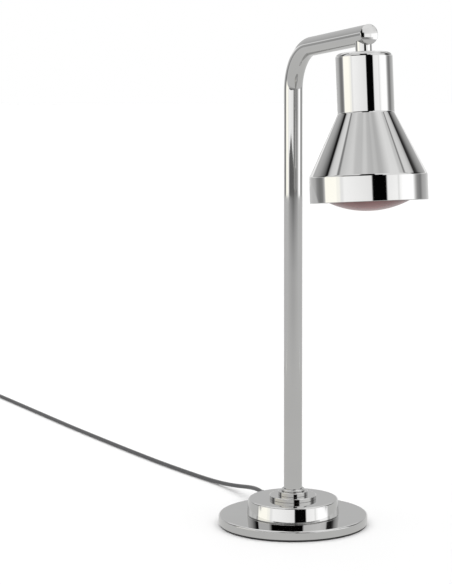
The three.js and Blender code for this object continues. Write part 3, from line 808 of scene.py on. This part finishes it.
def make_plug():
    """A moulded three-pin plug that lies beside the coil."""
    place = Matrix.Translation(PLUG_TAIL) @ Matrix.Rotation(math.pi / 2, 4, "Z")
    # each loop's half width and half height, how round it is, and how far along it lies
    rows = [(3.3, 3.3, 1.0, 0), (3.7, 3.7, 1.0, 0.4)]
    for i in range(6):
        low = 1.6 + 3 * i
        r = 3.8 + 1.5 * (low / 20)
        for size, y in ((r, low), (r - 0.8, low + 0.15), (r - 0.8, low + 1.1), (r + 0.1, low + 1.25)):
            rows.append((size, size, 1.0, y))
    rows += [
        (5.4, 5.4, 1.0, 20), (7.2, 6.8, 1.0, 21), (9.2, 8.4, 0.9, 23.5), (10.4, 9.4, 0.85, 27),
        (10.6, 9.6, 0.8, 31), (10.5, 9.6, 0.75, 33.6), (11.0, 10.6, 0.75, 34.8), (12.1, 12.1, 0.7, 35.8),
        (12.2, 12.2, 0.7, 36.4), (12.2, 12.2, 0.7, 43.2), (11.9, 11.9, 0.7, 43.8), (11.4, 11.4, 0.7, 44),
    ]
    loops = []
    for a, b, part, y in rows:
        loops.append([(u, y, v) for u, v in rounded(2 * a, 2 * b, min(a, b) * part * 0.999, 8)])
    body = loft("mains_plug", loops, place, 40)
    dress(body, BLACK_PLASTIC, "base", "black_plastic", "plug_body")

    pieces = [body]
    face, length, thick, half, up, tip = 44, 16.3, 1.5, 6.3 / 2, 2.5, 1.6
    for number, x in ((1, -6.35), (2, 6.35)):
        outline = [
            (-half, -0.3), (-half, length - tip), (-half + 1.2, length), (half - 1.2, length),
            (half, length - tip), (half, -0.3),
        ]
        sides = ((-thick / 2, 0.92), (-thick / 2 + 0.25, 1), (thick / 2 - 0.25, 1), (thick / 2, 0.92))
        blade = loft(f"plug_blade_{number}_detail", [
            [(x + side, face + y, up + z * part) for z, y in outline] for side, part in sides
        ], place)
        across = Matrix.Rotation(math.pi / 2, 4, "Y")
        hole = place @ Matrix.Translation((x, face + length - 4.2, up)) @ across
        cut_hole(blade, 1.55, 4, scaled(hole))
        dress(blade, BRASS, "base", "brass", f"plug_blade_{number}")
        pieces.append(blade)
    pin = lathe("plug_ground_pin_detail", [
        (0, 43.8), (2.4, 43.8), (2.4, 60.8), *arc(0, 61.9, 2.4, 0, 90, 8)[:-1], (0, 64.3),
    ], 48, place @ Matrix.Translation((0, 0, -6.5)) @ Matrix.Rotation(-math.pi / 2, 4, "X"))
    dress(pin, BRASS, "base", "brass", "plug_ground_pin")
    return pieces + [pin]


# ------------------------------------------------------------------ inside the head
def make_lamp_holder():
    """The porcelain lamp holder, and the washer between stem and shade."""
    top, bottom, radius, bulb_top = -44.5, -83.5, 19, -BULB["top"]
    holder = lathe("porcelain_lamp_holder", [
        (4, top + 2.4), *arc(radius - 2.5, top + 0.4, 2, 90, 0, 6), (radius + 0.6, top - 0.6),
        (radius + 0.8, top - 1.2), (radius + 0.8, top - 7), (radius + 0.3, top - 9), (radius, top - 10.5),
        (radius - 0.9, bottom + 1), *arc(radius - 1.9, bottom + 1, 1, 0, -90, 5), (15.3, bottom),
        (14.8, bottom + 0.5), (14.8, bulb_top + 2), (4, bulb_top + 2),
    ], 128, HEAD_PLACE)
    dress(holder, PORCELAIN, "lamp_head", "porcelain", "lamp_socket")
    seat, outside = -HEAD["top"], 10.45
    washer = lathe("swivel_slip_washer", [
        (SWIVEL_BORE, seat + 0.3), (outside - 0.25, seat + 0.3), (outside, seat + 0.5),
        (outside, seat + 0.8), (outside - 0.25, seat + 1.0), (SWIVEL_BORE, seat + 1.0),
    ], 96, HEAD_PLACE)
    dress(washer, NYLON, "base", "nylon", "swivel_washer")


# ------------------------------------------------------------------ studio
AZIMUTH = math.radians(27)
STUDIO_GAIN = 1.56
GREY = (0.46, 0.46, 0.455)
CREAM = (1.08, 1.06, 0.97)
PALE = (0.86, 0.86, 0.86)
WHITE = (1.1, 1.1, 1.11)
BLACK = (0.001, 0.001, 0.001)


def tone(value):
    return (value, value, value)


# What surrounds the lamp, from low to high. Each band has the elevation it starts from and how softly it
# starts, how far it droops at the sides (less than 0: it is only behind), and its tones by bearing, where
# 0 is the camera's side and bearings grow to the camera's right. All are in degrees.
SKY = [
    (-8.6, 2.4, 0, [
        (-180, GREY), (-66, GREY), (-14, tone(0.385)), (8, tone(0.38)), (66, GREY), (180, GREY),
    ]),
    (-5.8, 0.5, 3.4, [
        (-180, tone(0.95)), (-168, tone(0.72)), (-158, tone(0.5)), (-142, tone(0.44)), (-130, tone(0.4)),
        (-122, tone(0.24)), (-112, tone(0.17)), (-104, tone(0.2)), (-97.5, tone(0.5)), (-95.5, CREAM),
        (-69, CREAM), (-67, (0.98, 0.97, 0.9)), (-61, (0.97, 0.96, 0.9)), (-58.5, tone(0.81)),
        (-55, tone(0.82)), (-51, tone(0.94)), (2.6, tone(0.81)), (4.6, BLACK), (31, BLACK),
        (34, tone(0.88)), (54, tone(0.94)), (57, tone(0.74)), (60, tone(0.96)), (67, WHITE), (92, WHITE),
        (99, tone(0.5)), (105, tone(0.25)), (116, tone(0.18)), (124, tone(0.36)), (140, tone(0.44)),
        (168, tone(0.62)), (180, tone(0.95)),
    ]),
    (6.4, 0.8, -40, [
        (-180, tone(0.8)), (-140, tone(0.76)), (-128, tone(0.68)), (-119, tone(0.6)), (-112, tone(0.66)),
        (112, tone(0.66)), (124, tone(0.6)), (134, tone(0.7)), (146, tone(0.76)), (180, tone(0.8)),
    ]),
    (10.5, 1.0, 0, [
        (-180, tone(0.41)), (-140, tone(0.41)), (-128, tone(0.35)), (-120, tone(0.1)), (-110, tone(0.1)),
        (-104, tone(0.4)), (-98, (0.76, 0.74, 0.67)), (-62, (0.7, 0.68, 0.63)), (-25, tone(0.64)),
        (1, tone(0.64)), (6, BLACK), (30, BLACK), (34, tone(0.72)), (60, tone(0.78)), (90, tone(0.8)),
        (97, tone(0.5)), (106, tone(0.12)), (120, tone(0.14)), (130, tone(0.37)), (142, tone(0.4)),
        (180, tone(0.41)),
    ]),
    (15.4, 0.6, 0, [
        (-180, tone(0.45)), (-140, tone(0.42)), (-128, tone(0.34)), (-118, tone(0.18)), (-110, tone(0.04)),
        (-107, BLACK), (-101, BLACK), (-98, tone(0.6)), (-66, tone(0.6)), (-60, tone(0.3)), (-56, BLACK),
        (24, BLACK), (28, tone(0.7)), (70, tone(0.76)), (92, tone(0.66)), (97, tone(0.02)),
        (112, tone(0.01)), (121, tone(0.05)), (126, tone(0.18)), (134, tone(0.3)), (148, tone(0.4)),
        (180, tone(0.45)),
    ]),
    (30.0, 1.5, 0, [
        (-180, tone(0.95)), (-150, tone(0.85)), (-138, tone(0.6)), (-122, tone(0.3)), (-115, tone(0.02)),
        (-106.5, BLACK), (-103, tone(0.5)), (-98, tone(0.66)), (-87, tone(0.74)), (-84, tone(0.2)),
        (-81, tone(0.2)), (-78, tone(0.56)), (-60, tone(0.66)), (-26, tone(0.7)), (-22, BLACK), (9, BLACK),
        (12, tone(0.78)), (76, tone(0.74)), (81, tone(0.58)), (87, tone(0.56)), (89, tone(0.2)),
        (91, tone(0.2)), (93.5, tone(0.68)), (104, tone(0.64)), (111, tone(0.45)), (114, tone(0.02)),
        (119, tone(0.02)), (124, tone(0.2)), (132, tone(0.42)), (146, tone(0.62)), (158, tone(0.86)),
        (180, tone(0.95)),
    ]),
    (52.5, 1.0, 0, [
        (-180, tone(0.95)), (-155, tone(0.9)), (-140, tone(0.66)), (-60, tone(0.67)), (-50, tone(0.58)),
        (-42, tone(0.54)), (-27, tone(0.53)), (-20, tone(0.62)), (-13, tone(0.62)), (-6, tone(0.52)),
        (6, tone(0.48)), (13, tone(0.54)), (20, tone(0.52)), (26, tone(0.46)), (35, tone(0.48)),
        (43, tone(0.57)), (52, tone(0.68)), (64, tone(0.77)), (120, tone(0.66)), (150, tone(0.86)),
        (180, tone(0.95)),
    ]),
    (66, 8.0, 0, [(-180, tone(0.62)), (-60, tone(0.7)), (60, tone(0.6)), (180, tone(0.62))]),
]
def make_floor():
    under = (0, 0, -0.0002)
    bpy.ops.mesh.primitive_circle_add(vertices=128, radius=30, fill_type="NGON", location=under)
    floor = bpy.context.object
    floor.name = "floor"
    floor.visible_glossy = False
    look = bpy.data.materials.new("floor")
    look.use_nodes = True
    shader = look.node_tree.nodes["Principled BSDF"]
    shader.inputs["Base Color"].default_value = (0.8, 0.8, 0.8, 1)
    shader.inputs["Roughness"].default_value = 1
    shader.inputs["Specular IOR Level"].default_value = 0
    shader.inputs["Emission Color"].default_value = (1, 1, 1, 1)
    shader.inputs["Emission Strength"].default_value = 0.02
    floor.data.materials.append(look)


def make_light():
    """A broad soft light overhead; the chrome doesn't mirror it."""
    light = bpy.data.lights.new("overhead", "SUN")
    light.energy = 1.3
    light.angle = math.radians(100)
    lamp = link(bpy.data.objects.new("overhead", light))
    lamp.rotation_euler = (math.radians(8), math.radians(-6), 0)
    lamp.visible_glossy = False


# the belt is far enough away for the base to look over it and under it
BELT = dict(radius=4.0, low=-0.42, front_low=-0.09, panel_foot=0.185, top=0.575)


def belt_tone(bearing, height):
    """The belt's tone at a bearing in degrees and a height, or None where it is open.

    It is grey low down, with a darker pool before the camera and a dark strip to the right of it.
    """
    away = abs(bearing)
    deeper = min(max((away - 50) / 40, 0), 1)
    if height < BELT["front_low"] + (BELT["low"] - BELT["front_low"]) * deeper:
        return None
    if height > BELT["panel_foot"]:
        if -52 < bearing < 12 and height < 0.405 - 0.0036 * abs(bearing + 27):
            return 0.11
        if 2 < bearing < 47:
            return 0.2
        if 47 <= bearing < 68:
            return 0.2 + 0.55 * (bearing - 47) / 21
        return None
    depth = (BELT["panel_foot"] - height) / (BELT["panel_foot"] - BELT["low"])
    pool = max(0.0, 1 - away / 66) ** 0.7
    return 0.47 - 0.33 * pool * (1 - depth) ** 1.8


def make_belt():
    """A soft grey belt beyond the camera's side that only the chrome sees; the upright mirrors it."""
    mesh = bpy.data.meshes.new("backdrop_belt")
    bm = bmesh.new()
    shade_layer = bm.loops.layers.float_color.new("tone")
    steps, spacing = 68, 3
    rows = [BELT["low"] + (BELT["top"] - BELT["low"]) * i / steps for i in range(steps + 1)]
    columns = list(range(-180, 181, spacing))

    def corner(bearing, height):
        b = math.radians(bearing)
        side, front = BELT["radius"] * math.sin(b), BELT["radius"] * math.cos(b)
        x = side * math.cos(AZIMUTH) - front * math.sin(AZIMUTH)
        y = -side * math.sin(AZIMUTH) - front * math.cos(AZIMUTH)
        return bm.verts.new((x, y, height))

    grid = [[corner(b, z) for b in columns] for z in rows]
    for i in range(len(rows) - 1):
        for j in range(len(columns) - 1):
            middle = belt_tone(columns[j] + spacing / 2, (rows[i] + rows[i + 1]) / 2)
            if middle is None:
                continue
            face = bm.faces.new((grid[i][j], grid[i][j + 1], grid[i + 1][j + 1], grid[i + 1][j]))
            for loop in face.loops:
                loop[shade_layer] = (middle, middle, middle, 1)
    loose = [v for v in bm.verts if not v.link_faces]
    bmesh.ops.delete(bm, geom=loose, context="VERTS")
    bm.to_mesh(mesh)
    bm.free()
    belt = link(bpy.data.objects.new("backdrop_belt", mesh))
    belt.visible_camera = False
    belt.visible_diffuse = False
    belt.visible_transmission = False
    belt.visible_shadow = False
    look = bpy.data.materials.new("backdrop")
    look.use_nodes = True
    nodes, links = look.node_tree.nodes, look.node_tree.links
    nodes.clear()
    tones = nodes.new("ShaderNodeVertexColor")
    tones.layer_name = "tone"
    glow = nodes.new("ShaderNodeEmission")
    glow.inputs["Strength"].default_value = STUDIO_GAIN
    out = nodes.new("ShaderNodeOutputMaterial")
    links.new(tones.outputs["Color"], glow.inputs["Color"])
    links.new(glow.outputs["Emission"], out.inputs["Surface"])
    mesh.materials.append(look)


def make_world():
    """A white surround for the camera, and bands of soft panels round the lamp that the chrome mirrors."""
    world = bpy.data.worlds.new("studio")
    scene.world = world
    world.use_nodes = True
    nodes, links = world.node_tree.nodes, world.node_tree.links
    nodes.clear()

    def maths(operation, *values):
        node = nodes.new("ShaderNodeMath")
        node.operation = operation
        for socket, value in zip(node.inputs, values):
            if isinstance(value, (int, float)):
                socket.default_value = value
            else:
                links.new(value, socket)
        return node.outputs[0]

    where = nodes.new("ShaderNodeTexCoord")
    split = nodes.new("ShaderNodeSeparateXYZ")
    links.new(where.outputs["Generated"], split.inputs["Vector"])
    x, y, z = split.outputs
    sine, cosine = math.sin(AZIMUTH), math.cos(AZIMUTH)
    side = maths("SUBTRACT", maths("MULTIPLY", x, cosine), maths("MULTIPLY", y, sine))
    front = maths("ADD", maths("MULTIPLY", x, -sine), maths("MULTIPLY", y, -cosine))
    bearing = maths("ADD", maths("DIVIDE", maths("ARCTAN2", side, front), 2 * math.pi), 0.5)
    elevation = maths("DEGREES", maths("ARCSINE", z))

    below = nodes.new("ShaderNodeRGB")
    below.outputs[0].default_value = (*GREY, 1)
    colour = below.outputs[0]

    def smooth_step(value, low, high):
        step = nodes.new("ShaderNodeMapRange")
        step.interpolation_type = "SMOOTHSTEP"
        step.inputs["From Min"].default_value = low
        step.inputs["From Max"].default_value = high
        links.new(value, step.inputs["Value"])
        return step.outputs["Result"]

    # a band droops at the sides, but not behind the lamp
    away = maths("ABSOLUTE", maths("SUBTRACT", bearing, 0.5))
    behind = smooth_step(away, 98 / 360, 103 / 360)
    aside = maths("SUBTRACT", smooth_step(away, 50 / 360, 95 / 360), behind)
    before = maths("SUBTRACT", 1, behind)
    for start, soft, droop, stops in SKY:
        band = ramp(nodes, [((degrees + 180) / 360, stop) for degrees, stop in stops])
        links.new(bearing, band.inputs["Fac"])
        height = maths("ADD", elevation, maths("MULTIPLY", aside if droop > 0 else before, droop))
        mix = nodes.new("ShaderNodeMix")
        mix.data_type = "RGBA"
        links.new(smooth_step(height, start - soft, start + soft), mix.inputs["Factor"])
        links.new(colour, mix.inputs["A"])
        links.new(band.outputs["Color"], mix.inputs["B"])
        colour = mix.outputs["Result"]

    studio = nodes.new("ShaderNodeBackground")
    studio.inputs["Strength"].default_value = STUDIO_GAIN
    links.new(colour, studio.inputs["Color"])
    surround = nodes.new("ShaderNodeBackground")
    surround.inputs["Color"].default_value = (1, 1, 1, 1)
    seen = nodes.new("ShaderNodeLightPath")
    switch = nodes.new("ShaderNodeMixShader")
    out = nodes.new("ShaderNodeOutputWorld")
    links.new(seen.outputs["Is Camera Ray"], switch.inputs["Fac"])
    links.new(studio.outputs["Background"], switch.inputs[1])
    links.new(surround.outputs["Background"], switch.inputs[2])
    links.new(switch.outputs["Shader"], out.inputs["Surface"])


# ------------------------------------------------------------------ the object
cord = make_cord()
finish_cad_nodes()
dress(cord, CORD_JACKET, "base", "cord_plastic", "cord", "cord_coil")
on_cord = make_tie() + make_plug()
make_base()
make_housing()
make_collars()
make_set_screw()
make_tube()
make_stem()
make_shade()
make_bulb()
make_lamp_holder()
make_gland()
make_switch()
make_floor()
make_light()
make_belt()
make_world()
